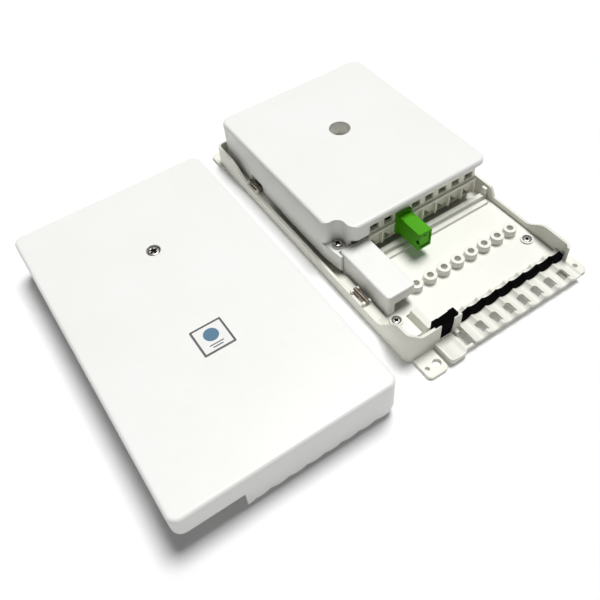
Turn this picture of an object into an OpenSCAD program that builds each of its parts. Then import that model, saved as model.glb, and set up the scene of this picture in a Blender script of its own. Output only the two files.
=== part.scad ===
// Fibre termination box for eight drop cables, shown opened.
// The base lies on its back, and the outer cover is off and lies face up on its left.
// +X is to the right, +Y is away from the cable ports, +Z is up.
// The origin is the middle of the base's back face.

/* [Base] */
// Outside width of the base
base_w = 122.4; // [120:0.2:126]
// Outside length of the base, front wall to back wall
base_l = 212.6; // [212:0.2:216]
// Thickness of the moulded walls
wall = 1.9; // [1.8:0.1:2.4]
// Thickness of the base floor
floor_t = 2; // [1.6:0.1:2.2]
// Radius of the upright corners
corner_r = 5; // [4.5:0.5:6]
// Height of the low rim along the sides
rim_low = 8; // [7:0.5:9]
// Height of the rim at the two back corners
rim_back = 16; // [14:0.5:18]
// Height of the right rim beside the fibre tray
rim_right = 14; // [12:0.5:15]
// Height of the front wall left of the feeder port
rim_front_left = 18.4; // [18:0.2:19.6]
// Height of the left rim's peak, which is the closed cover's lower edge at the front left
skirt_front_left = 24.2; // [23:0.2:25]
// Height of the rim at the front right corner
rim_front_right = 15.6; // [14.6:0.2:18]

/* [Cable ports] */
// Number of drop cable ports
port_count = 8; // [8:1:8]
// Spacing of the ports, posts and adapter positions
pitch = 10.5; // [10.3:0.1:10.6]
// Left end of the row of drop ports
comb_x = -24.8; // [-25.5:0.1:-24]
// Height of the bottom of each drop trough
trough_z = 4.6; // [4.2:0.1:5]
// Height of the ridges between the troughs
ridge_z = 6.8; // [6.4:0.1:7.2]
// How far the drop ports stand out from the front wall
comb_out = 12.5; // [11:0.5:14]
// How far the feeder port stands out from the front wall
feeder_out = 14.5; // [14:0.5:16]

/* [Covers] */
// Height of the closed box
closed_h = 38.4; // [38.2:0.2:39.4]
// How far the outer cover overhangs each side of the base
cover_side = 2.2; // [1.8:0.1:2.4]
// How far the outer cover overhangs the front and the back
cover_end = 0.4; // [0.2:0.1:0.8]
// Sideways distance from the base to the parked outer cover
park_x = -146.6; // [-160:0.2:-140]
// Lengthwise distance from the base to the parked outer cover
park_y = -18.4; // [-30:0.1:0]
// Height of the inner cover above the base's back face
inner_top = 35.8; // [34:0.1:36]
// Radius of the soft upper edges of the covers
soft_r = 2; // [1.5:0.5:3]

/* [Fibre side] */
// Surface of the deck that carries the drop cable posts
deck_z = 4.2; // [4:0.1:4.5]
// First adapter position from the left
adapter_x = -26.5; // [-27:0.1:-26]
// Position that holds the fitted adapter
fitted = 3; // [2:1:7]
// Height of the adapter's centre line
adapter_z = 17.9; // [17.5:0.1:18.2]

/* [Hidden] */
$fn = 48;
eps = 0.01;
half_w = base_w / 2;
half_l = base_l / 2;
front_y = -half_l;
in_x = half_w - wall;
in_y = half_l - wall;
// The last trough is a little narrower, because the front right corner wraps around beside it
comb_end = comb_x + port_count * pitch - 1.8;
// Centre of the outer cover's screw, the boss under it and the hole between them
boss_x = 2.6;
boss_y = 46;
// Steel pins that the outer cover's hooks clip on to
pin_x = -57.2;
pin_z = 9.2;
pin_d = 3.4;
pin_gap = 9.4;
lug_l = 1.8;
pin_ys = [59.5, -58];
// Feeder port
feeder_x0 = -39.2;
feeder_x1 = -30.4;
feeder_sill = 6.6;
step_h = 18.6;
// Thickness of the wavy plate under the drop cables
port_plate = 1.5;
// Deck and tray fasteners
deck_screws_at = [[-49.4, -81], [53, -79.5]];
tray_screws_at = [[-47, 96], [50, 96], [51, -20]];
corner_at = [-49.8, -24.6];
corner_lug_z = 18.4;
// Inner cover, with its notch at the front left corner
inner_x0 = -56;
inner_x1 = 58.8;
inner_y0 = -33.4;
inner_y1 = 104.1;
inner_z0 = 6.8;
notch_x = -45.4;
notch_y = -20.4;
notch_r = 5.5;
inner_mid = [(inner_x0 + inner_x1) / 2, (inner_y0 + inner_y1) / 2];
inner_r = 7;
left_blend = 4;
front_blend = 6;
panel_y = -30;
panel_t = 2;
tray_z = 6.4;
// Adapter outline: SC, upright
sc_w = 9.3;
sc_h = 12.8;
sc_x = adapter_x + (fitted - 1) * pitch;
sc_front = -52;
sc_back = -18;
bore_w = 7.6;
bore_h = 9.4;
shutter_y = -50.9;
shutter_z = adapter_z + 4.0;

// ---------- shared shapes ----------

// A rectangle with round corners
module round_rect(w, l, r) {
    square([w - 2 * r, l], center = true);
    square([w, l - 2 * r], center = true);
    for (sx = [-1, 1], sy = [-1, 1])
        translate([sx * (w / 2 - r), sy * (l / 2 - r)]) circle(r);
}

// A block given by its lowest and highest corners
module block(a, b) {
    translate(a) cube([b[0] - a[0], b[1] - a[1], b[2] - a[2]]);
}

// An outline in X and Z, carried along Y from y0 to y1
module along_y(y0, y1) {
    translate([0, y1, 0]) rotate([90, 0, 0]) linear_extrude(y1 - y0) children();
}

// An outline in Y and Z, carried along X from x0 to x1
module along_x(x0, x1) {
    translate([x0, 0, 0]) rotate([90, 0, 90]) linear_extrude(x1 - x0) children();
}

// A round bar laid along the line from a to b, both at height z
module bar(a, b, z, r) {
    translate([a[0], a[1], z]) rotate([0, 0, atan2(b[1] - a[1], b[0] - a[0])]) rotate([0, 90, 0])
        cylinder(r = r, h = norm(b - a));
}

// A box with round upright corners and rolled top edges
module soft_box(w, l, h, rc, rs) {
    linear_extrude(h - rs) round_rect(w, l, rc);
    linear_extrude(h) round_rect(w - 2 * rs, l - 2 * rs, rc - rs);
    for (s = [-1, 1]) {
        bar([rc - w / 2, s * (l / 2 - rs)], [w / 2 - rc, s * (l / 2 - rs)], h - rs, rs);
        bar([s * (w / 2 - rs), rc - l / 2], [s * (w / 2 - rs), l / 2 - rc], h - rs, rs);
    }
    for (sx = [-1, 1], sy = [-1, 1])
        translate([sx * (w / 2 - rc), sy * (l / 2 - rc), h - rs])
            rotate_extrude() translate([rc - rs, 0]) circle(rs, $fn = 32);
}

// A cross-recessed screw, head up, with its seat at the origin
module cross_screw(head_d, head_h, shank_d, shank_l) {
    difference() {
        union() {
            cylinder(d = head_d, h = head_h * 0.55);
            translate([0, 0, head_h * 0.55]) cylinder(d1 = head_d, d2 = head_d * 0.7, h = head_h * 0.45);
            translate([0, 0, -shank_l]) cylinder(d = shank_d, h = shank_l + eps);
        }
        for (a = [0, 90]) rotate([0, 0, a])
            translate([-head_d * 0.3, -head_d * 0.07, head_h * 0.45])
                cube([head_d * 0.6, head_d * 0.14, head_h]);
    }
}

// What a convex corner at the origin loses when it is rounded, the material being towards +X and +Y
module corner_loss(r) {
    difference() {
        translate([-1, -1]) square(r + 1);
        translate([r, r]) circle(r);
    }
}

// ---------- rim line, shared by the base and the outer cover ----------

// Smooth step from a to b, for t from 0 to 1
function ease(a, b, t) = a + (b - a) * (1 - cos(180 * t)) / 2;
function s_curve(y0, z0, y1, z1) = [for (i = [0 : 8]) [y0 + (y1 - y0) * i / 8, ease(z0, z1, i / 8)]];

left_rim = concat(s_curve(-half_l + 9.5, skirt_front_left, -half_l + 29, rim_low),
    s_curve(62, rim_low, 88, rim_back));
right_rim = concat(s_curve(-half_l + 20, rim_front_right, -half_l + 36, rim_low),
    s_curve(-43.5, rim_low, -38, rim_right), s_curve(72, rim_right, 92, rim_back));

// Everything above a side's rim line, up to height top
module above_rim(line, top) {
    n = len(line);
    polygon(concat([[-half_l - 30, line[0][1]]], line,
        [[half_l + 30, line[n - 1][1]], [half_l + 30, top], [-half_l - 30, top]]));
}

// Everything below a side's rim line
module below_rim(line) {
    n = len(line);
    polygon(concat([[-half_l - 30, line[0][1]]], line,
        [[half_l + 30, line[n - 1][1]], [half_l + 30, -1], [-half_l - 30, -1]]));
}

// Everything above the rim of the front left corner, which drops from the peak to the front wall
module above_corner() {
    line = s_curve(-half_w + 1.5, skirt_front_left, -half_w + 9.5, rim_front_left);
    polygon(concat([[-half_w - 5, skirt_front_left]], line,
        [[comb_x, rim_front_left], [comb_x, 40], [-half_w - 5, 40]]));
}

// ---------- base ----------

// Radius of the arc that sags by sag across one port, less a narrow flat between ports
function port_radius(sag) = (pow(pitch / 2 - 0.4, 2) + sag * sag) / (2 * sag);

// Outline of the drop troughs in X and Z, filled down to z0
module trough_outline(z0, valley, ridge) {
    r = port_radius(ridge - valley);
    difference() {
        translate([comb_x, z0]) square([port_count * pitch, ridge - z0]);
        for (k = [0 : port_count - 1])
            translate([comb_x + (k + 0.5) * pitch, valley + r]) circle(r, $fn = 64);
    }
}

// A wall-mounting ear: flat plate from (x0, y0) to (x1, y1)
module ear(x0, y0, x1, y1) {
    translate([(x0 + x1) / 2, (y0 + y1) / 2, 0]) linear_extrude(wall) round_rect(x1 - x0, y1 - y0, 3);
}

// The low shelf along the left wall, with two open saddles that one hinge pin snaps into
module pin_shelf(y) {
    along_x(-in_x - 1, pin_x + 3)
        polygon([[y - 30, floor_t - eps], [y - 18, rim_low - 0.6], [y + 18, rim_low - 0.6], [y + 30, floor_t - eps]]);
    for (s = [-1, 1]) translate([0, y + s * (pin_gap + lug_l) / 2, 0])
        block([-in_x - 1, -lug_l / 2, floor_t], [pin_x + 2.6, lug_l / 2, pin_z + 1.1]);
}

// The pocket under the pin
module pin_pocket(y) {
    block([-in_x + 0.4, y - pin_gap / 2, floor_t + 0.4], [pin_x + 2.4, y + pin_gap / 2, 14]);
}

module feeder_outline(drop) {
    r = 14;
    difference() {
        translate([-43, 2]) square([12.8, 3.4]);
        translate([-36.6, 4.5 + r + drop]) circle(r + drop, $fn = 64);
    }
}

// The open trough under the feeder cable
module feeder_tongue() {
    difference() {
        along_y(front_y - feeder_out, front_y + 1) feeder_outline(0);
        translate([-43 + 12.8, front_y - feeder_out, 0]) rotate(90) linear_extrude(9) corner_loss(4);
        translate([-43, front_y - feeder_out, 0]) linear_extrude(9) corner_loss(2.5);
    }
}

// Outline of the base, inset by t
module base_outline(t) {
    round_rect(base_w - 2 * t, base_l - 2 * t, corner_r - t);
}

module base_body() {
    linear_extrude(skirt_front_left) base_outline(0);
    ear(-58, front_y - 15, -44.5, front_y + 4);
    ear(50.5, front_y - 10.5, 66, front_y + 4);
    ear(-63, half_l - 10, -49, half_l + 8);
    ear(49, half_l - 10, 63, half_l + 8);
    // sill that joins the feeder trough to the first drop trough, and a small stop peg
    block([-31, front_y - comb_out, 2], [comb_x + 0.5, front_y - comb_out + 1.6, 4.6]);
    block([feeder_x1 + 0.4, front_y - 3, 2], [feeder_x1 + 2.6, front_y + 1, 8]);
}

// The drop troughs: a solid sill inside the wall line, a wavy plate outside it, windows between them
module comb() {
    difference() {
        union() {
            along_y(front_y - 1.5, front_y + 10) trough_outline(floor_t - eps, trough_z, ridge_z);
            along_y(front_y - comb_out, front_y) difference() {
                trough_outline(floor_t - 0.4, trough_z, ridge_z);
                translate([comb_x + pitch / 2, -port_plate]) trough_floor();
            }
        }
        for (k = [1 : port_count - 1])
            block([comb_x + k * pitch - 2.6, front_y - 9.6, 0], [comb_x + k * pitch + 2.6, front_y - 3, 12]);
        block([comb_x - 1, front_y + 2.5, trough_z - 1.4], [comb_end, front_y + 6.5, 12]);
        // outside the wall the troughs stop short of the corner
        block([comb_end, front_y - comb_out - 1, 0], [comb_end + 4, front_y + 1, 12]);
    }
}

// Space under the wavy plate, between the arcs of two neighbouring troughs
module trough_floor() {
    r = port_radius(ridge_z - trough_z) + port_plate;
    difference() {
        translate([-pitch, 0]) square([(port_count + 1) * pitch, ridge_z + 1]);
        for (k = [0 : port_count - 1])
            translate([k * pitch, trough_z + r]) circle(r, $fn = 64);
    }
}

// The ridge under the feeder cable, behind its port
module feeder_saddle() {
    along_y(front_y + 8.8, front_y + 24.2)
        polygon([[-42.6, floor_t - eps], [-40.2, 7.6], [-36.2, 7.6], [-36.2, floor_t - eps]]);
}

module base_shell() {
    color("whitesmoke") difference() {
        union() {
            difference() {
                base_body();
                translate([0, 0, floor_t])
                    linear_extrude(40) base_outline(wall);
                along_x(-half_w - 5, -half_w + 12) above_rim(left_rim, 40);
                along_y(front_y - 1, front_y + 9.5) above_corner();
                along_x(half_w - 12, half_w + 5) above_rim(right_rim, 40);
                // the rim runs level along the front left and the back
                block([-half_w + 11, half_l - 14, rim_back], [half_w - 11, half_l + 1, 40]);
                // the drop ports replace the front wall
                block([comb_x, front_y - 1, floor_t], [comb_end, front_y + wall + 1, 40]);
                block([feeder_x1, front_y - 1, step_h], [comb_x + 1, front_y + wall + 1, 40]);
                // the feeder port
                block([feeder_x0, front_y - 1, feeder_sill], [feeder_x1, front_y + wall + 1, 40]);
                // outside the base the front right corner ends at its own rim
                block([comb_end, front_y - 1, rim_front_right], [half_w + 1, front_y + 12, 40]);
            }
            comb();
            feeder_tongue();
            feeder_saddle();
            for (y = pin_ys) pin_shelf(y);
            // bosses for the deck, tray, corner and cover screws
            for (p = deck_screws_at) translate([p[0], p[1], 1]) cylinder(d = 7, h = 1.2);
            for (p = tray_screws_at) translate([p[0], p[1], 1]) cylinder(d = 7, h = tray_z - 3);
            translate([boss_x, boss_y, 1]) cylinder(d = 12, h = 25);
            translate([corner_at[0], corner_at[1], 1]) cylinder(d = 6, h = corner_lug_z - 4.4);
        }
        // wall-mounting holes
        translate([-48.3, front_y - 8.6, -1]) cylinder(d = 5, h = 5);
        translate([-55, front_y - 8.7, -1]) cylinder(d = 2.6, h = 5);
        translate([62, front_y - 4, -1]) cylinder(d = 3, h = 5);
        translate([-56, half_l + 3.4, -1]) cylinder(d = 5, h = 5);
        translate([56, half_l + 3.4, -1]) cylinder(d = 5, h = 5);
        // hinge pin pockets and bores
        for (y = pin_ys) {
            pin_pocket(y);
            translate([pin_x, y - pin_gap / 2 - 1.9, pin_z])
                rotate([-90, 0, 0]) cylinder(d = pin_d, h = pin_gap + 3.8);
        }
        // slots that hold the feeder seal's ribs
        block([feeder_x0 - 3.5, front_y + 0.9, feeder_sill + 2], [feeder_x0 + 1, front_y + wall + 1, 40]);
        block([feeder_x1 - 1, front_y + 0.9, feeder_sill + 2], [feeder_x1 + 3.6, front_y + wall + 1, 40]);
        // thread holes
        for (p = deck_screws_at) translate([p[0], p[1], 0.8]) cylinder(d = 3, h = 6);
        for (p = tray_screws_at) translate([p[0], p[1], 0.8]) cylinder(d = 3, h = 12);
        translate([boss_x, boss_y, 12]) cylinder(d = 5.6, h = 20);
        translate([corner_at[0], corner_at[1], 6]) cylinder(d = 4.6, h = 20);
    }
}

module hinge_pins() {
    color("rosybrown") for (y = pin_ys)
        translate([pin_x, y - pin_gap / 2 - 1.7, pin_z])
            rotate([-90, 0, 0]) cylinder(d = pin_d, h = pin_gap + 3.4);
}

module cover_screw_insert() {
    color("goldenrod") translate([boss_x, boss_y, 16]) difference() {
        cylinder(d = 5.6, h = 9.8);
        translate([0, 0, -1]) cylinder(d = 3.6, h = 12);
    }
}

module corner_screw_insert() {
    color("goldenrod") translate([corner_at[0], corner_at[1], 8]) difference() {
        cylinder(d = 4.6, h = 6.8);
        translate([0, 0, -1]) cylinder(d = 3.2, h = 10);
    }
}

// ---------- seals ----------

module drop_seal_strip() {
    stand = 3.4;
    color("black") along_y(front_y + 2.7, front_y + 6.3) difference() {
        translate([comb_x + 0.3, trough_z - 1.3]) square([comb_end - comb_x - 0.4, ridge_z + stand - trough_z + 1.3]);
        r = port_radius(1.8);
        for (k = [0 : port_count - 1])
            translate([comb_x + (k + 0.5) * pitch, trough_z + stand + r]) circle(r, $fn = 64);
    }
}

// Wedge of soft rubber that fills the feeder port, with a rib at each side
module feeder_seal() {
    color("black") {
        along_y(front_y + 0.2, front_y + 5.2) polygon([[feeder_x0 + 0.1, feeder_sill + 0.1],
            [feeder_x1 - 1.4, feeder_sill + 0.1], [feeder_x1 - 0.1, feeder_sill + 7],
            [feeder_x1 - 0.1, step_h + 1.6], [feeder_x0 + 0.1, step_h + 0.4]]);
        block([feeder_x0 - 3.3, front_y + 1, feeder_sill + 2.2], [feeder_x0 + 0.5, front_y + 5.2, step_h + 1.2]);
        block([feeder_x1 - 0.5, front_y + 1, feeder_sill + 2.2], [feeder_x1 + 3.4, front_y + 5.6, step_h + 1.6]);
    }
}

// ---------- deck with the drop cable posts ----------

post_x = -25.4;
post_y = -69;
deck_y0 = front_y + 10.3;
deck_y1 = -34;

module cable_deck() {
    color("ivory") difference() {
        union() {
            block([-in_x + 0.4, deck_y0, 2.3], [in_x - 0.4, deck_y1, deck_z]);
            for (k = [0 : port_count - 1]) translate([post_x + k * pitch, post_y, deck_z - eps])
                cylinder(d = 8.4, h = 4.8);
            for (p = deck_screws_at) translate([p[0], p[1], deck_z - eps]) difference() {
                cylinder(d = 8.2, h = 0.9);
                translate([0, 0, -1]) cylinder(d = 6, h = 4);
            }
            // two sills in front of the adapter panel
            block([-31, -37.6, 2.3], [in_x - 1.4, -34.2, 7.6]);
            block([-31, -42.2, 2.3], [in_x - 3.4, -39.4, 6]);
            // right end wall of the adapter bay
            block([in_x - 2.6, -37.6, 2.3], [in_x - 0.8, deck_y1, 12.5]);
        }
        for (k = [0 : port_count - 1]) translate([post_x + k * pitch, post_y, 2.9]) cylinder(d = 4, h = 12);
        // clear of the feeder saddle, the hinge lugs and the screws
        block([-43, deck_y0 - 1, 0], [-35.8, -81.6, 20]);
        block([-in_x - 1, pin_ys[1] - 30.4, 0], [pin_x + 3.4, pin_ys[1] + 30.4, 20]);
        translate([0, 0, -1]) linear_extrude(20) difference() {
            square([base_w + 10, base_l + 10], center = true);
            base_outline(wall + 0.4);
        }
        for (p = deck_screws_at) translate([p[0], p[1], 0]) {
            cylinder(d = 3.6, h = 12);
            translate([0, 0, 3.2]) cylinder(d = 6, h = 12);
        }
    }
}

module deck_screws() {
    color("gray") for (p = deck_screws_at) translate([p[0], p[1], 3.2]) cross_screw(5.2, 1.9, 3, 2.2);
}

// ---------- fibre tray under the inner cover ----------

tray_x0 = -53.2;
tray_x1 = 55.8;
tray_y0 = -27.6;
tray_y1 = 101.6;

// A post with a finger that keeps the fibre coils down
module fibre_guide(x, y, turn) {
    translate([x, y, tray_z]) rotate([0, 0, turn]) {
        block([-0.9, -5, -eps], [0.9, 5, 11]);
        block([-0.9, -3, 9.6], [8, 3, 11]);
    }
}

module fibre_tray() {
    color("white") difference() {
        union() {
            translate([(tray_x0 + tray_x1) / 2, (tray_y0 + tray_y1) / 2, tray_z - 2])
                linear_extrude(2) round_rect(tray_x1 - tray_x0, tray_y1 - tray_y0, 6);
            translate([(tray_x0 + tray_x1) / 2, (tray_y0 + tray_y1) / 2, tray_z - eps]) linear_extrude(7)
                difference() {
                    round_rect(tray_x1 - tray_x0, tray_y1 - tray_y0, 6);
                    round_rect(tray_x1 - tray_x0 - 3, tray_y1 - tray_y0 - 3, 4.5);
                }
            for (y = [4, 62]) {
                fibre_guide(tray_x0 + 3, y, 0);
                fibre_guide(tray_x1 - 3, y, 180);
            }
            for (x = [-24, 28]) fibre_guide(x, tray_y1 - 3, -90);
            translate([boss_x, boss_y, tray_z - eps]) cylinder(d = 22, h = 4);
        }
        // the front wall is open behind the adapters
        block([-34, tray_y0 - 1, tray_z], [panel_x1 + 0.4, tray_y0 + 2.4, 30]);
        translate([boss_x, boss_y, 0]) cylinder(d = 12.8, h = 30);
        translate([boss_x, boss_y, tray_z]) cylinder(d = 18.8, h = 30);
        // clear of the inner cover's notch
        block([tray_x0 - 1, tray_y0 - 1, 0], [notch_x + 2.6, notch_y + 3, 40]);
        for (p = tray_screws_at) translate([p[0], p[1], 0]) cylinder(d = 3.6, h = 12);
    }
}

module tray_screws() {
    color("gray") for (p = tray_screws_at) translate([p[0], p[1], tray_z]) cross_screw(6, 1.8, 2.9, 5);
}

// ---------- splice holder ----------

splice_y0 = 74;
splice_x0 = -26;
splice_rows = 12;
splice_step = 4;

module splice_holder() {
    color("white") difference() {
        block([splice_x0 - 2, splice_y0 - 13, tray_z], [splice_x0 + splice_rows * splice_step + 2, splice_y0 + 13, tray_z + 6]);
        for (k = [0 : splice_rows - 1])
            block([splice_x0 + (k + 0.5) * splice_step - 1.4, splice_y0 - 20, tray_z + 1.4],
                [splice_x0 + (k + 0.5) * splice_step + 1.4, splice_y0 + 20, 30]);
        block([splice_x0 - 5, splice_y0 - 5, tray_z + 1.4], [splice_x0 + 60, splice_y0 + 5, 30]);
    }
}

// ---------- adapter panel ----------

panel_x0 = -31.8;
panel_x1 = 52.4;
panel_z0 = 4.6;
panel_z1 = 31.6;
rail_z = adapter_z + 2.2;

// One closed position: window above the rail, recess and three-sided hole below it
module blank_cut(x) {
    block([x - 3.2, panel_y - 4, rail_z + 1.7], [x + 3.2, panel_y + 4, rail_z + 6.3]);
    block([x - 4.2, panel_y - 5, rail_z - 10.8], [x + 4.2, panel_y + 0.8, rail_z - 1.7]);
    along_y(panel_y - 5, panel_y + 4)
        polygon([[x - 1.8, rail_z - 11.4], [x + 2.2, rail_z - 11.4], [x - 1.8, rail_z - 6.6]]);
}

module adapter_panel() {
    color("whitesmoke") difference() {
        union() {
            block([panel_x0, panel_y, panel_z0 + 3.2], [panel_x1, panel_y + panel_t, panel_z1]);
            block([panel_x0, panel_y - 1.6, rail_z - 1.6], [panel_x1 - 1, panel_y + eps, rail_z]);
            // ribs between the positions
            for (k = [0 : port_count]) let (x = adapter_x + (k - 0.5) * pitch)
                if (k != fitted && k != fitted - 1)
                    block([max(x - 0.6, panel_x0), panel_y - 1.6, 8.4], [x + 0.6, panel_y + eps, rail_z]);
            // foot that stands on the tray's front edge
            block([panel_x0, panel_y, panel_z0 + 3.2], [panel_x1, panel_y + 4.2, 9.4]);
            // right end wall
            block([panel_x1 - 2, panel_y, panel_z0 + 3.2], [panel_x1, panel_y + 6.4, panel_z1]);
        }
        for (k = [0 : port_count - 1]) if (k != fitted - 1) blank_cut(adapter_x + k * pitch);
        block([sc_x - sc_w / 2 - 0.15, panel_y - 5, adapter_z - sc_h / 2 - 0.15],
            [sc_x + sc_w / 2 + 0.15, panel_y + 8, adapter_z + sc_h / 2 + 0.15]);
        block([sc_x - 6.2, panel_y - 5, rail_z - 9.6], [sc_x + 6.2, panel_y, rail_z + 1]);
        block([sc_x - 2.2, panel_y - 1, adapter_z], [sc_x + 2.2, panel_y + 4, adapter_z + sc_h / 2 + 0.75]);
    }
}

// ---------- SC adapter ----------

flange_y0 = panel_y - 2.6;
flange_y1 = panel_y - 0.1;
// The two halves meet where the flange ends
half_y = flange_y1;

module sc_outline(w, h) {
    translate([sc_x, adapter_z]) square([w, h], center = true);
}

module adapter_front_shell() {
    color("limegreen") difference() {
        union() {
            along_y(sc_front, half_y) sc_outline(sc_w, sc_h);
            along_y(flange_y0, flange_y1) sc_outline(sc_w + 1.6, sc_h + 2.6);
        }
        along_y(sc_front - 1, half_y + 1) sc_outline(bore_w, bore_h);
        // keyway in the left side and the shutter's pivot holes
        block([sc_x - sc_w, sc_front - 1, adapter_z - 1.3], [sc_x, sc_front + 2.6, adapter_z + 1.3]);
        translate([sc_x - 4.4, shutter_y, shutter_z]) rotate([0, 90, 0]) cylinder(d = 1.1, h = 8.8);
    }
}

module adapter_rear_shell() {
    color("limegreen") difference() {
        along_y(half_y, sc_back) sc_outline(sc_w, sc_h);
        along_y(half_y - 1, sc_back + 1) sc_outline(bore_w, bore_h);
        block([sc_x - sc_w, sc_back - 2.6, adapter_z - 1.3], [sc_x, sc_back + 1, adapter_z + 1.3]);
    }
}

// White cage that holds the alignment sleeve between the two halves
module adapter_sleeve_holder() {
    color("white") difference() {
        union() {
            along_y(half_y - 0.9, half_y + 0.9) sc_outline(bore_w, bore_h);
            along_y(half_y - 7.6, half_y + 7.6) translate([sc_x, adapter_z]) circle(d = 5.2);
        }
        along_y(half_y - 9, half_y + 9) translate([sc_x, adapter_z]) circle(d = 3.3);
    }
}

module alignment_sleeve() {
    color("white") along_y(half_y - 5.7, half_y + 5.7) translate([sc_x, adapter_z]) difference() {
        circle(d = 3.2);
        circle(d = 2.5);
        translate([0, 1.5]) square([0.5, 2], center = true);
    }
}

// Spring clip over the rear half, its legs behind the panel
module adapter_spring_clip() {
    color("dimgray") difference() {
        along_y(panel_y + panel_t + 0.2, panel_y + panel_t + 7) sc_outline(sc_w + 1.1, sc_h + 1.1);
        along_y(panel_y, panel_y + 12) sc_outline(sc_w + 0.1, sc_h + 0.1);
        block([sc_x - 10, panel_y, adapter_z - 10], [sc_x + 10, panel_y + 12, adapter_z - sc_h / 2 + 1]);
    }
    // tongue that reaches through the panel to the flange
    color("dimgray") block([sc_x - 2, flange_y1 + 0.05, adapter_z + sc_h / 2 + 0.05],
        [sc_x + 2, panel_y + panel_t + 1, adapter_z + sc_h / 2 + 0.55]);
}

// Flap that closes the adapter's mouth and swings in when a plug is pushed in
module adapter_shutter() {
    color("green") difference() {
        union() {
            block([sc_x - bore_w / 2 + 0.25, shutter_y - 0.45, adapter_z - bore_h / 2 + 0.3],
                [sc_x + bore_w / 2 - 0.25, shutter_y + 0.45, shutter_z]);
            translate([sc_x - bore_w / 2 + 0.25, shutter_y, shutter_z])
                rotate([0, 90, 0]) cylinder(d = 0.9, h = bore_w - 0.5);
            translate([sc_x - 4.3, shutter_y, shutter_z]) rotate([0, 90, 0]) cylinder(d = 1, h = 8.6);
        }
        block([sc_x - 1, shutter_y - 2, shutter_z - 1.2], [sc_x + 1, shutter_y + 2, shutter_z + 2]);
    }
}

// Torsion spring of the shutter, shown as its coil
module shutter_spring() {
    color("silver") translate([sc_x - 0.8, shutter_y, shutter_z]) rotate([0, 90, 0]) cylinder(d = 0.8, h = 1.6);
}

// ---------- inner cover ----------

// Plan of the notch for the corner screw, taken out of a shell that is inset by t
module notch_outline(t) {
    // the notch has a round inner corner
    translate([inner_x0 - 1, inner_y0 - 1]) square([notch_x + t - notch_r - inner_x0 + 1, notch_y + t - inner_y0 + 1]);
    translate([inner_x0 - 1, inner_y0 - 1]) square([notch_x + t - inner_x0 + 1, notch_y + t - notch_r - inner_y0 + 1]);
    translate([notch_x + t - notch_r, notch_y + t - notch_r]) circle(notch_r);
    // and blends into the left and front edges
    translate([inner_x0 + t, notch_y + t]) corner_loss(left_blend - t);
    translate([notch_x + t, inner_y0 + t]) corner_loss(front_blend - t);
}

// Outline of the inner cover, inset by t
module inner_outline(t) {
    difference() {
        translate(inner_mid) round_rect(inner_x1 - inner_x0 - 2 * t, inner_y1 - inner_y0 - 2 * t, inner_r - t);
        notch_outline(t);
    }
}

module inner_cover() {
    color("white") difference() {
        union() {
            difference() {
                translate([inner_mid[0], inner_mid[1], inner_z0])
                    soft_box(inner_x1 - inner_x0, inner_y1 - inner_y0, inner_top - inner_z0, inner_r, soft_r);
                linear_extrude(closed_h) notch_outline(0);
            }
            // lug for the corner screw, its left side slanting in to the entry cover
            translate([0, 0, inner_z0]) linear_extrude(corner_lug_z - inner_z0) lug_outline();
        }
        // inside
        translate([0, 0, -1]) linear_extrude(inner_top - 2 + 1) difference() {
            inner_outline(2);
            translate([boss_x, boss_y]) circle(d = 18);
        }
        block([inner_x0 - 5, inner_y0 - 5, -1], [inner_x1 + 5, inner_y1 + 5, inner_z0]);
        translate([0, 0, -1]) linear_extrude(corner_lug_z - 2) lug_hollow();
        // room for the back hinge pin and the cover's hook on it
        block([inner_x0 - 1, pin_ys[0] - pin_gap / 2 - lug_l - 0.6, 0],
            [pin_x + 4, pin_ys[0] + pin_gap / 2 + lug_l + 0.6, pin_z + 4.4]);
        block([inner_x0 - 1, pin_ys[0] - 30.4, 0], [pin_x + 3.6, pin_ys[0] + 30.4, rim_low]);
        // the front is open under a lip, for the adapter panel
        block([panel_x0 - 1, inner_y0 - 5, 0], [inner_x1 + 1, panel_y + 0.2, inner_top - 4]);
        block([panel_x0 - 0.4, inner_y0 - 5, 0], [inner_x1 + 1, panel_y + 8.6, inner_top - 3.8]);
        // well and hole for the outer cover's screw
        translate([boss_x, boss_y, -1]) cylinder(d = 13.4, h = inner_top - 8);
        translate([boss_x, boss_y, inner_top - 12]) cylinder(d = 14, h = 20);
        translate([corner_at[0], corner_at[1], 0]) cylinder(d = 3.4, h = 30);
        // the entry cover tucks under the front wall
        block([notch_x - 0.2, inner_y0 - 5, 0], [panel_x0, entry_y1 + 0.4, entry_top + 4.4]);
    }
}

// Outline of the corner lug; its left side slants in to meet the entry cover
module lug_outline() {
    polygon([[inner_x0, notch_y + 3], [inner_x0, notch_y + 1], [entry_x0 - 2, entry_y1 - 4],
        [entry_x0 - 0.4, entry_y1 - 4], [entry_x0 - 0.4, entry_y1 + 0.4],
        [notch_x, entry_y1 + 0.4], [notch_x, notch_y + 3]]);
}

// Hollow of the lug, over the boss on the base
module lug_hollow() {
    polygon([[inner_x0 + 1.8, notch_y + 3], [inner_x0 + 1.8, notch_y + 0.5], [entry_x0 - 0.2, entry_y1 + 1.3],
        [notch_x - 0.8, entry_y1 + 1.3], [notch_x - 0.8, notch_y + 3]]);
}

module inner_cover_screw() {
    color("lightgray") translate([corner_at[0], corner_at[1], corner_lug_z]) {
        cross_screw(6.6, 2.6, 3, 8.6);
    }
}

// ---------- entry cover ----------

entry_x0 = -52;
entry_x1 = -32.2;
entry_y0 = -76;
entry_y1 = -29.8;
entry_top = 20;

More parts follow.
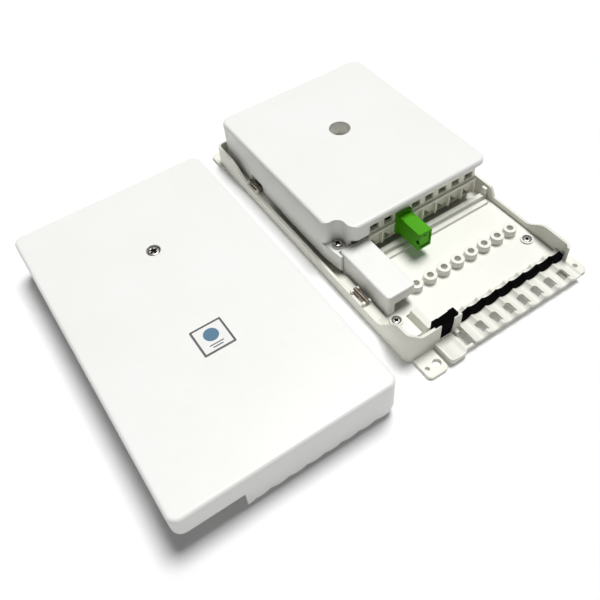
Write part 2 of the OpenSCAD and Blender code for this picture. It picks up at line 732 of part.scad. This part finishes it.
module entry_cover() {
    color("white") difference() {
        translate([(entry_x0 + entry_x1) / 2, (entry_y0 + entry_y1) / 2, deck_z + 0.1])
            soft_box(entry_x1 - entry_x0, entry_y1 - entry_y0, entry_top - deck_z - 0.1, 2.2, 1);
        block([entry_x0 + 1.6, entry_y0 + 1.6, 0], [entry_x1 - 1.6, entry_y1 - 1.6, entry_top - 1.8]);
        // open at the front for the feeder tube and at the back towards the tray
        block([entry_x0 + 5, entry_y0 - 1, 0], [entry_x1 + 1, entry_y0 + 5, 12.6]);
        block([entry_x0 + 5, entry_y1 - 3, 0], [entry_x1 - 1.6, entry_y1 + 1, 13]);
    }
}

// ---------- outer cover, drawn in its closed place and moved to where it lies ----------

cover_w = base_w + 2 * cover_side;
cover_l = base_l + 2 * cover_end;
cover_wall = 1.2;
lobe_z = closed_h - 25.6;
lobe_sag = 1.4;

module park() {
    translate([park_x, park_y, -rim_low]) children();
}

// Lower edge of the front skirt: eight lobes above the troughs
module lobe_outline() {
    r = port_radius(lobe_sag);
    intersection() {
        union() for (k = [0 : port_count - 1])
            translate([comb_x + (k + 0.5) * pitch, lobe_z + r]) circle(r, $fn = 96);
        translate([comb_x - 1, lobe_z - 1]) square([comb_end - comb_x + 1, lobe_sag + 1.1]);
    }
}

// A clip inside the left wall that snaps over one hinge pin from above
module pin_hook(y) {
    difference() {
        union() {
            translate([pin_x, y - 3.5, pin_z]) rotate([-90, 0, 0]) cylinder(d = pin_d + 2.8, h = 7);
            block([0.1 - cover_w / 2, y - 3.5, pin_z + 0.6], [pin_x, y + 3.5, pin_z + 3.1]);
        }
        translate([pin_x, y - 10, pin_z]) rotate([-90, 0, 0]) cylinder(d = pin_d + 0.1, h = 20);
        block([pin_x - 9, y - 10, 0], [pin_x + 9, y + 10, rim_low + 0.05]);
    }
}

module outer_cover() {
    color("white") park() {
        difference() {
            translate([0, 0, rim_low]) soft_box(cover_w, cover_l, closed_h - rim_low, corner_r + 0.7, soft_r);
            translate([0, 0, -1]) linear_extrude(closed_h - wall + 1)
                round_rect(cover_w - 2 * cover_wall, cover_l - 2 * cover_wall, corner_r + 0.7 - cover_wall);
            along_x(-half_w - 5, -half_w + 3) below_rim(left_rim);
            along_x(half_w - 3, half_w + 5) below_rim(right_rim);
            block([-half_w, half_l - 12, 0], [half_w, half_l + 5, rim_back]);
            block([-half_w, front_y - 5, 0], [comb_x - 2.4, front_y + 7, skirt_front_left]);
            block([comb_x - 2.5, front_y - 5, 0], [comb_end, front_y + 12, lobe_z + lobe_sag]);
            block([comb_end - eps, front_y - 5, 0], [half_w + 5, front_y + 12, rim_front_right]);
            translate([boss_x, boss_y, 0]) cylinder(d = 4.4, h = 60);
            translate([boss_x, boss_y, closed_h - 2.4]) cylinder(d = 8.6, h = 5);
        }
        along_y(-cover_l / 2, -cover_l / 2 + cover_wall) {
            lobe_outline();
            // the tooth left of the first lobe
            polygon([[comb_x - 2.4, lobe_z - 1], [comb_x - 2.4, lobe_z + 4], [comb_x + 2, lobe_z + 4], [comb_x + 2, lobe_z + 0.6]]);
        }
        for (y = pin_ys) pin_hook(y);
        // tube that guides the captive screw
        translate([boss_x, boss_y, 0]) difference() {
            translate([0, 0, closed_h - 10]) cylinder(d = 11.6, h = 8.2);
            cylinder(d = 4.4, h = 60);
            translate([0, 0, closed_h - 2.4]) cylinder(d = 8.6, h = 5);
        }
        // stiffening ribs under the top
        for (y = [-60, 0]) block([-in_x + 8, y - 0.8, closed_h - 5], [in_x - 8, y + 0.8, closed_h - wall + eps]);
    }
}

module cover_screw() {
    color("silver") park() translate([boss_x, boss_y, closed_h - 2.4]) cross_screw(8, 3, 3.5, 19);
}

module cover_screw_washer() {
    color("black") park() translate([boss_x, boss_y, closed_h - 11.6]) difference() {
        cylinder(d = 7, h = 1.4);
        translate([0, 0, -1]) cylinder(d = 3.5, h = 4);
    }
}

label_size = 19;

module cover_label() {
    color("white") translate([park_x + 1, park_y - 29, closed_h - rim_low])
        linear_extrude(0.2) round_rect(label_size, label_size, 0.5);
}

base_shell();
cable_deck();
deck_screws();
hinge_pins();
drop_seal_strip();
feeder_seal();
fibre_tray();
tray_screws();
adapter_panel();
adapter_front_shell();
adapter_rear_shell();
adapter_sleeve_holder();
alignment_sleeve();
adapter_spring_clip();
adapter_shutter();
shutter_spring();
splice_holder();
cover_screw_insert();
corner_screw_insert();
inner_cover();
inner_cover_screw();
entry_cover();
outer_cover();
cover_screw();
cover_screw_washer();
cover_label();
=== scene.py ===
import math

import bmesh
import bpy
from mathutils import Matrix, Vector


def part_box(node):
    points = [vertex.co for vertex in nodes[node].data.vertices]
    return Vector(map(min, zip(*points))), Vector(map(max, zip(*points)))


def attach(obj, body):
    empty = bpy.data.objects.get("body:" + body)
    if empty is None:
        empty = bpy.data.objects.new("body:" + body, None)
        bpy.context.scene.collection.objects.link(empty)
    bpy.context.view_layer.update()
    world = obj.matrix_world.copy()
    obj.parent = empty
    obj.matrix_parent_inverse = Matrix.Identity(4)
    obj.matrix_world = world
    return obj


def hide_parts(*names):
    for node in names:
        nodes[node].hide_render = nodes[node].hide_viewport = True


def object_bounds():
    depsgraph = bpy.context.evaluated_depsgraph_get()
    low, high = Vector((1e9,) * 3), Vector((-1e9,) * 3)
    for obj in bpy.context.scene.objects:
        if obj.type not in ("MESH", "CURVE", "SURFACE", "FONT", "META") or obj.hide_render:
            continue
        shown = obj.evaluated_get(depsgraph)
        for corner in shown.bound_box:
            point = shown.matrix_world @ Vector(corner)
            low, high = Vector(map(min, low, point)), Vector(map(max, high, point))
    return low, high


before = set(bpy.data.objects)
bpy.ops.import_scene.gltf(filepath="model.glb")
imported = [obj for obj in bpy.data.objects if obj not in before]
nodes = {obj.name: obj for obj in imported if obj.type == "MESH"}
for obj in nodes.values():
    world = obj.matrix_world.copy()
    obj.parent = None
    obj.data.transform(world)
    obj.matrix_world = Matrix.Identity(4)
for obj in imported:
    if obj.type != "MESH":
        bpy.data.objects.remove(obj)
cad_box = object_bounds()
MM = 0.001

# noise scales, in cycles per metre
DRIFT = 22.0
WEAR = 160.0
MOTTLE = 700.0


# ---------- materials ----------

def new_material(name):
    """An empty node material, its node tree and its shader."""
    m = bpy.data.materials.new(name)
    m.use_nodes = True
    t = m.node_tree
    shader = t.nodes["Principled BSDF"]
    return m, t, shader


def noise(t, where, scale, detail=2.0, stretch=None):
    """A noise texture in object space, its scale per metre."""
    n = t.nodes.new("ShaderNodeTexNoise")
    n.inputs["Scale"].default_value = scale
    n.inputs["Detail"].default_value = detail
    if stretch:
        mapping = t.nodes.new("ShaderNodeMapping")
        mapping.inputs["Scale"].default_value = stretch
        t.links.new(where, mapping.inputs["Vector"])
        where = mapping.outputs["Vector"]
    t.links.new(where, n.inputs["Vector"])
    return n.outputs["Fac"]


def ramp(t, fac, stops):
    """Turns a 0 to 1 value into a colour between (place, colour) stops."""
    r = t.nodes.new("ShaderNodeValToRGB")
    el = r.color_ramp.elements
    while len(el) < len(stops):
        el.new(0.5)
    for e, (pos, col) in zip(el, stops):
        e.position = pos
        e.color = (*col, 1)
    t.links.new(fac, r.inputs["Fac"])
    return r.outputs["Color"]


def spread(t, fac, low, high):
    """Stretches the busy middle of a noise value over low to high."""
    r = t.nodes.new("ShaderNodeMapRange")
    r.inputs["From Min"].default_value = 0.3
    r.inputs["From Max"].default_value = 0.7
    r.inputs["To Min"].default_value = low
    r.inputs["To Max"].default_value = high
    t.links.new(fac, r.inputs["Value"])
    return r.outputs["Result"]


def finish_normal(t, shader, height, strength, depth, edge):
    """Fine surface texture on top of softly rounded edges."""
    bump = t.nodes.new("ShaderNodeBump")
    bump.inputs["Strength"].default_value = strength
    bump.inputs["Distance"].default_value = depth
    t.links.new(height, bump.inputs["Height"])
    if edge:
        bevel = t.nodes.new("ShaderNodeBevel")
        bevel.samples = 6
        bevel.inputs["Radius"].default_value = edge
        t.links.new(bevel.outputs["Normal"], bump.inputs["Normal"])
    t.links.new(bump.outputs["Normal"], shader.inputs["Normal"])


def plastic(name, dark, light, rough, grain=1800.0, depth=0.04 * MM, edge=0.6 * MM, spec=0.45, coat=0.0):
    """Moulded plastic: a faint drift of tone, a spark-eroded grain, and soft edges."""
    m, t, s = new_material(name)
    where = t.nodes.new("ShaderNodeTexCoord").outputs["Object"]
    tone = noise(t, where, DRIFT, 4.0)
    fine = noise(t, where, grain, 3.0)
    t.links.new(ramp(t, tone, [(0.25, dark), (0.75, light)]), s.inputs["Base Color"])
    t.links.new(spread(t, noise(t, where, WEAR, 3.0), rough - 0.05, rough + 0.06), s.inputs["Roughness"])
    s.inputs["Specular IOR Level"].default_value = spec
    s.inputs["Coat Weight"].default_value = coat
    s.inputs["Coat Roughness"].default_value = 0.15
    finish_normal(t, s, fine, 0.25, depth, edge)
    return m


def metal(name, dark, light, rough, stretch=(60, 60, 1400), depth=0.03 * MM, edge=0.2 * MM):
    """Drawn or turned metal: fine marks along one direction, and a mottled plating."""
    m, t, s = new_material(name)
    where = t.nodes.new("ShaderNodeTexCoord").outputs["Object"]
    s.inputs["Metallic"].default_value = 1.0
    marks = noise(t, where, 1.0, 4.0, stretch)
    mottle = noise(t, where, MOTTLE, 3.0)
    t.links.new(ramp(t, mottle, [(0.3, dark), (0.7, light)]), s.inputs["Base Color"])
    t.links.new(spread(t, marks, rough - 0.06, rough + 0.1), s.inputs["Roughness"])
    finish_normal(t, s, marks, 0.2, depth, edge)
    return m


cover_abs = plastic("cover_abs", (0.87, 0.87, 0.835), (0.9, 0.9, 0.88), 0.34, edge=1.1 * MM)
# the base's ivory tint is its own colour; its being darker than the deck and panel is painted shade for its
# walls and front corner
base_abs = plastic("base_abs", (0.78, 0.775, 0.695), (0.83, 0.825, 0.75), 0.38, edge=0.5 * MM)
deck_abs = plastic("deck_abs", (0.85, 0.848, 0.785), (0.885, 0.883, 0.825), 0.4, edge=0.5 * MM)
panel_abs = plastic("panel_abs", (0.88, 0.865, 0.755), (0.91, 0.895, 0.795), 0.42, edge=0.3 * MM)
rubber = plastic("rubber", (0.0008, 0.0008, 0.001), (0.002, 0.002, 0.0026), 0.85,
                 grain=2600.0, depth=0.08 * MM, edge=0.3 * MM, spec=0.04)
green = plastic("green_plastic", (0.062, 0.34, 0.003), (0.085, 0.41, 0.006), 0.45, edge=0.3 * MM, spec=0.12)
flap_green = plastic("shutter_plastic", (0.1, 0.5, 0.006), (0.13, 0.58, 0.012), 0.45,
                     edge=0.2 * MM, spec=0.12)
cage = plastic("cage_plastic", (0.72, 0.72, 0.68), (0.8, 0.8, 0.76), 0.45, edge=0.2 * MM)
ceramic = plastic("ceramic", (0.82, 0.81, 0.76), (0.88, 0.87, 0.83), 0.12, edge=0.0, coat=0.6)
screw_steel = metal("screw_steel", (0.36, 0.34, 0.33), (0.56, 0.54, 0.52), 0.3, stretch=(500, 500, 500))
# painted shade: a near-black metal for the faces down in a screw's cross recess, standing in for the shade
# that falls there
screw_recess_painted_shade = metal("screw_recess_painted_shade", (0.012, 0.011, 0.01), (0.04, 0.036, 0.033), 0.5,
                     stretch=(500, 500, 500))
pin_steel = metal("pin_steel", (0.2, 0.155, 0.12), (0.42, 0.36, 0.3), 0.3, stretch=(900, 40, 900))
clip_steel = metal("clip_steel", (0.015, 0.015, 0.017), (0.045, 0.045, 0.05), 0.35,
                   stretch=(800, 60, 800))
brass = metal("insert_brass", (0.5, 0.34, 0.12), (0.72, 0.52, 0.22), 0.28)
paper = plastic("label_paper", (0.86, 0.86, 0.84), (0.9, 0.9, 0.88), 0.25, edge=0.0, coat=0.3)
slate = plastic("label_slate", (0.1, 0.2, 0.3), (0.13, 0.25, 0.36), 0.4, edge=0.0, spec=0.1)
grey_ink = plastic("label_grey", (0.12, 0.12, 0.13), (0.16, 0.16, 0.17), 0.4, edge=0.0, spec=0.1)

LOOK = {
    "base_shell": base_abs, "cable_deck": deck_abs, "fibre_tray": base_abs, "splice_holder": base_abs,
    "adapter_panel": panel_abs, "drop_seal_strip": rubber, "feeder_seal": rubber,
    "adapter_front_shell": green, "adapter_rear_shell": green, "adapter_sleeve_holder": cage,
    "alignment_sleeve": ceramic, "adapter_spring_clip": clip_steel, "adapter_shutter": flap_green,
    "shutter_spring": screw_steel, "cover_screw_insert": brass, "corner_screw_insert": brass,
    "inner_cover": cover_abs, "entry_cover": cover_abs, "outer_cover": cover_abs,
    "cover_screw_washer": rubber, "cover_label": paper,
    "deck_screws": screw_steel, "tray_screws": screw_steel, "inner_cover_screw": screw_steel,
    "cover_screw": screw_steel, "hinge_pins": pin_steel,
}
for name, node in nodes.items():
    node.data.materials.clear()
    node.data.materials.append(LOOK[name])


# ---------- mesh helpers ----------

def make(name, bm, material, body, smooth=35):
    """Turns a bmesh into an object that rides on a body."""
    me = bpy.data.meshes.new(name)
    bmesh.ops.recalc_face_normals(bm, faces=bm.faces)
    bm.to_mesh(me)
    bm.free()
    me.materials.append(material)
    for p in me.polygons:
        p.use_smooth = True
    ob = bpy.data.objects.new(name, me)
    bpy.context.scene.collection.objects.link(ob)
    me.set_sharp_from_angle(angle=math.radians(smooth))
    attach(ob, body)
    return ob


def solids(node):
    """The boxes of a node's separate solids, in a fixed order."""
    me = nodes[node].data
    per_metre = 1e5  # points within 0.01 mm of each other are one
    key = [tuple(round(c * per_metre) for c in v.co) for v in me.vertices]
    parent = {}

    def root(k):
        while parent[k] != k:
            parent[k] = parent[parent[k]]
            k = parent[k]
        return k

    for k in key:
        parent.setdefault(k, k)
    for p in me.polygons:
        ks = [root(key[i]) for i in p.vertices]
        for k in ks[1:]:
            parent[root(k)] = root(ks[0])
    groups = {}
    for k, v in zip(key, me.vertices):
        groups.setdefault(root(k), []).append(v.co)
    out = []
    for vs in groups.values():
        out.append((Vector((min(v.x for v in vs), min(v.y for v in vs), min(v.z for v in vs))),
                    Vector((max(v.x for v in vs), max(v.y for v in vs), max(v.z for v in vs)))))
    return sorted(out, key=lambda b: (round(b[0].x, 4), round(b[0].y, 4)))


def ring(bm, points):
    """A closed loop of new vertices."""
    return [bm.verts.new(p) for p in points]


def join(bm, a, b):
    """A band of faces between two loops of the same length."""
    n = len(a)
    return [bm.faces.new((a[i], a[(i + 1) % n], b[(i + 1) % n], b[i])) for i in range(n)]


def circle(bm, cx, cy, rad, z, n):
    """A level loop of n vertices round a vertical axis."""
    turns = [2 * math.pi * j / n for j in range(n)]
    return ring(bm, [(cx + rad * math.cos(a), cy + rad * math.sin(a), z) for a in turns])


def smoothstep(a, b, x):
    """0 below a, 1 above b, and a smooth rise between."""
    t = min(1.0, max(0.0, (x - a) / (b - a)))
    return t * t * (3 - 2 * t)


def cross_cut(x, y, turn, arm_l, arm_w):
    """How far a cross recess cuts in at a point of the head: 1 on its arms, 0 off them."""
    cut = 0.0
    for b in (turn, turn + math.pi / 2):
        along = abs(x * math.cos(b) + y * math.sin(b))
        across = abs(-x * math.sin(b) + y * math.cos(b))
        cut = max(cut, (1 - smoothstep(arm_w * 0.75, arm_w * 1.25, across))
                  * (1 - smoothstep(arm_l * 0.45, arm_l, along)))
    return cut


def head_height(rho, r, edge, head_h):
    """The height of a domed head at radius rho, rounded off over its outer edge."""
    z = head_h - 0.16 * head_h * (rho / r) ** 2
    if rho > r - edge:
        u = (rho - (r - edge)) / edge
        z -= 0.5 * head_h * (1 - math.sqrt(max(0.0, 1 - u * u)))
    return z


def thread_profile(core, seat, shank_l, pitch):
    """Radius and height of each ring down a threaded shank, to its blunt tip."""
    root_r = core * 0.8
    out = []
    z = seat - 0.8 * pitch
    while z > seat - shank_l + 2 * pitch:
        out += [(root_r, z), (core, z - 0.35 * pitch), (core, z - 0.5 * pitch), (root_r, z - 0.85 * pitch)]
        z -= pitch
    return out + [(root_r, seat - shank_l + pitch), (core * 0.5, seat - shank_l)]


def screw(bm, cx, cy, seat, head_d, head_h, shank_d, shank_l, turn=0.0):
    """A cross-recessed screw: domed head with a tapered recess, and a threaded shank."""
    steps, head_rings = 96, 30
    r, core = head_d / 2, shank_d / 2
    edge = 0.16 * head_d
    arm_l, arm_w, deep = 0.33 * head_d, 0.085 * head_d, 0.62 * head_h
    rings, depths = [], []
    for i in range(1, head_rings + 1):
        rho = r * i / head_rings
        top = head_height(rho, r, edge, head_h)
        pts, ring_depths = [], []
        for j in range(steps):
            a = 2 * math.pi * j / steps
            x, y = rho * math.cos(a), rho * math.sin(a)
            cut = cross_cut(x, y, turn, arm_l, arm_w)
            pts.append((cx + x, cy + y, seat + top - deep * cut))
            ring_depths.append(cut)
        rings.append(ring(bm, pts))
        depths.append(ring_depths)
    # faces in the recess take the second material, painted near-black to stand in for the shade down in the
    # recess
    tip = bm.verts.new((cx, cy, seat + head_h - deep))
    for j in range(steps):
        bm.faces.new((tip, rings[0][j], rings[0][(j + 1) % steps])).material_index = 1
    for i in range(head_rings - 1):
        for j, face in enumerate(join(bm, rings[i], rings[i + 1])):
            if depths[i][j] + depths[i + 1][j] > 0.5:
                face.material_index = 1

    last = rings[-1]
    under_head = [(r, seat + 0.1 * head_h), (r * 0.97, seat), (core * 0.9, seat)]
    for rad, z in under_head + thread_profile(core, seat, shank_l, 0.28 * shank_d):
        loop = circle(bm, cx, cy, rad, z, steps)
        join(bm, last, loop)
        last = loop
    bm.faces.new(last)


# ---------- screws and pins ----------

def screws(node, body, head_d, head_h, shank_d, seat_from_top, piece, turns):
    """Replaces a node's screws. seat_from_top is the head's underside below the solid's top."""
    for k, (lo, hi) in enumerate(solids(node)):
        bm = bmesh.new()
        seat = hi.z - seat_from_top
        screw(bm, (lo.x + hi.x) / 2, (lo.y + hi.y) / 2, seat, head_d, head_h, shank_d, seat - lo.z,
              math.radians(turns[k % len(turns)]))
        ob = make(f"{piece}_{k + 1}", bm, screw_steel, body, 50)
        # the second material paints the cross recess dark as shade
        ob.data.materials.append(screw_recess_painted_shade)
        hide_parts(node)


screws("deck_screws", "base", 5.2 * MM, 1.7 * MM, 3 * MM, 1.9 * MM, "deck_screw", (12, 52))
screws("tray_screws", "base", 6 * MM, 1.7 * MM, 2.9 * MM, 1.8 * MM, "tray_screw", (20, 61, 5))
screws("inner_cover_screw", "inner_cover_screw", 6.6 * MM, 2.5 * MM, 3 * MM, 2.6 * MM, "corner_screw", (25,))
screws("cover_screw", "cover_screw", 8 * MM, 2.2 * MM, 3.5 * MM, 3 * MM, "cover_screw_body", (18,))


def pin(k, lo, hi):
    """A ground steel pin with chamfered, faced ends, lying along Y."""
    bm = bmesh.new()
    cx, cz, r = (lo.x + hi.x) / 2, (lo.z + hi.z) / 2, (hi.x - lo.x) / 2
    steps, last = 64, None
    chamfer, faced, collar = 0.35 * MM, r * 0.25, 1.2 * MM
    front = [(lo.y, faced), (lo.y, r - chamfer), (lo.y + chamfer, r), (lo.y + collar, r)]
    back = [(hi.y - collar, r), (hi.y - chamfer, r), (hi.y, r - chamfer), (hi.y, faced)]
    for y, rad in front + back:
        turns = [2 * math.pi * j / steps for j in range(steps)]
        loop = ring(bm, [(cx + rad * math.cos(a), y, cz + rad * math.sin(a)) for a in turns])
        if last:
            join(bm, last, loop)
        else:
            bm.faces.new(loop)
        last = loop
    bm.faces.new(last)
    ob = make(f"hinge_pin_{k + 1}", bm, pin_steel, "base", 30)
    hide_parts("hinge_pins")


for k, (lo, hi) in enumerate(solids("hinge_pins")):
    pin(k, lo, hi)


# ---------- label print ----------

def plate(name, outline, hole, z0, z1, material):
    """A thin printed layer: an outline with an optional hole, both closed loops of the same length."""
    bm = bmesh.new()
    a0, a1 = ring(bm, [(x, y, z0) for x, y in outline]), ring(bm, [(x, y, z1) for x, y in outline])
    join(bm, a0, a1)
    if hole:
        b0, b1 = ring(bm, [(x, y, z0) for x, y in hole]), ring(bm, [(x, y, z1) for x, y in hole])
        join(bm, b1, b0)
        join(bm, a1, b1)
        join(bm, b0, a0)
    else:
        bm.faces.new(a1)
        bm.faces.new(list(reversed(a0)))
    return make(name, bm, material, "outer_cover", 30)


def rounded(cx, cy, w, h, r, n=8):
    """The outline of a rectangle with round corners."""
    pts = []
    for sx, sy, a0 in ((1, 1, 0), (-1, 1, 90), (-1, -1, 180), (1, -1, 270)):
        for i in range(n + 1):
            a = math.radians(a0 + 90 * i / n)
            pts.append((cx + sx * (w / 2 - r) + r * math.cos(a), cy + sy * (h / 2 - r) + r * math.sin(a)))
    return pts


lo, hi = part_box("cover_label")
mid, top = (lo + hi) / 2, hi.z
side = hi.x - lo.x
film_top = top + 0.02 * MM
border_out, border_in = side - 0.2 * MM, side - 2.6 * MM
spot_d, bar_h = 8.6 * MM, 0.7 * MM

outer = rounded(mid.x, mid.y, border_out, border_out, 0.6 * MM)
inner = rounded(mid.x, mid.y, border_in, border_in, 0.3 * MM)
plate("label_border", outer, inner, top, film_top, grey_ink)
# the spot's corner radius is a hair under half its width, so that no two of its points meet
spot = rounded(mid.x, mid.y + 1.8 * MM, spot_d, spot_d, 4.29 * MM, 16)
plate("label_dot", spot, None, top, film_top, slate)
for k, (below, bar_w) in enumerate(((4.6 * MM, 8.5 * MM), (6.3 * MM, 6.0 * MM))):
    bar = rounded(mid.x, mid.y - below, bar_w, bar_h, 0.2 * MM)
    plate(f"label_bar_{k + 1}", bar, None, top, film_top, grey_ink)


# ---------- moulded details of the adapter ----------

def rib(name, x0, x1, y0, y1, z0, z1):
    """A small rounded bar between two corners, moulded on the adapter."""
    corner_r = 0.18 * MM
    bm = bmesh.new()
    bmesh.ops.create_cube(bm, size=1)
    for v in bm.verts:
        v.co = ((x0 + x1) / 2 + v.co.x * (x1 - x0), (y0 + y1) / 2 + v.co.y * (y1 - y0),
                (z0 + z1) / 2 + v.co.z * (z1 - z0))
    bmesh.ops.bevel(bm, geom=list(bm.edges), offset=corner_r, segments=3, profile=0.5, affect="EDGES")
    return make(name, bm, green, "base", 40)


lo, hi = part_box("adapter_front_shell")
middle = (lo.x + hi.x) / 2
# the flange stands 1.3 mm above the body and is 2.5 mm thick
body_top = hi.z - 1.3 * MM
flange_front = hi.y - 2.5 * MM
sunk = body_top - 0.4 * MM

# one rib along the mouth's top edge, and two at the sides that run into the flange
rib("adapter_mouth_rib", middle - 4.4 * MM, middle + 4.4 * MM, lo.y + 0.1 * MM, lo.y + 1.0 * MM,
    sunk, body_top + 0.35 * MM)
for k, sign in enumerate((-1, 1)):
    x = middle + sign * 3.9 * MM
    rib(f"adapter_top_rib_{k + 1}", x - 0.45 * MM, x + 0.45 * MM,
        flange_front - 4.5 * MM, flange_front + 0.6 * MM, sunk, body_top + 0.45 * MM)


# ---------- floor, light and camera ----------

scene = bpy.context.scene
scene.view_settings.view_transform = "Standard"

# the floor lies a hair below the part, so that no faces coincide
bpy.ops.mesh.primitive_plane_add(size=8, location=(0, 0, -0.2 * MM))
floor = bpy.context.object
floor.name = "floor"
fm, ft, fs = new_material("floor_paper")
where = ft.nodes.new("ShaderNodeTexCoord").outputs["Object"]
shade = ramp(ft, noise(ft, where, 3.0), [(0.3, (0.89, 0.89, 0.89)), (0.7, (0.91, 0.91, 0.91))])
ft.links.new(shade, fs.inputs["Base Color"])
fs.inputs["Roughness"].default_value = 0.9
fs.inputs["Specular IOR Level"].default_value = 0.0
fs.inputs["Emission Color"].default_value = (1, 1, 1, 1)
fs.inputs["Emission Strength"].default_value = 0.06
floor.data.materials.append(fm)

world = bpy.data.worlds.new("studio")
world.use_nodes = True
sky = world.node_tree.nodes["Background"]
sky.inputs["Color"].default_value = (0.98, 0.99, 1.0, 1)
sky.inputs["Strength"].default_value = 0.11
scene.world = world


def light(name, kind, place, target, energy, size=None, angle=None):
    """A light that looks at the target. size is an area light's, angle a sun's, in degrees."""
    data = bpy.data.lights.new(name, kind)
    data.energy = energy
    if size:
        data.shape = "RECTANGLE"
        data.size, data.size_y = size
    if angle:
        data.angle = math.radians(angle)
    ob = bpy.data.objects.new(name, data)
    scene.collection.objects.link(ob)
    ob.location = place
    ob.rotation_euler = (Vector(target) - Vector(place)).to_track_quat("-Z", "Y").to_euler()
    return ob


centre = (cad_box[0] + cad_box[1]) / 2
light("key", "SUN", centre + Vector((0.28, 0.13, 1.0)), centre, 2.98, angle=24)
light("softbox", "AREA", centre + Vector((0.35, 0.55, 0.75)), centre, 0.8, size=(0.9, 0.7))

# the camera looks down on the part from its front left, rolled a little clockwise
CAMERA_PLACE = (-0.2048, -0.2551, 0.3196)
CAMERA_ANGLES = (-28.599, 51.640, -6.1955)  # azimuth, elevation and roll, in degrees
LENS = 41.05

cam_data = bpy.data.cameras.new("camera")
cam_data.lens = LENS
cam_data.sensor_width = 36
cam_data.clip_start = 0.01
cam = bpy.data.objects.new("camera", cam_data)
scene.collection.objects.link(cam)
scene.camera = cam
azimuth, elevation, roll = (math.radians(v) for v in CAMERA_ANGLES)
back = Vector((math.sin(azimuth) * math.cos(elevation), -math.cos(azimuth) * math.cos(elevation),
               math.sin(elevation)))
level = Vector((math.cos(azimuth), math.sin(azimuth), 0))
rise = back.cross(level)
right = math.cos(roll) * level + math.sin(roll) * rise
up = -math.sin(roll) * level + math.cos(roll) * rise
turned = Matrix((right, up, back)).transposed().to_4x4()
cam.matrix_world = Matrix.Translation(CAMERA_PLACE) @ turned
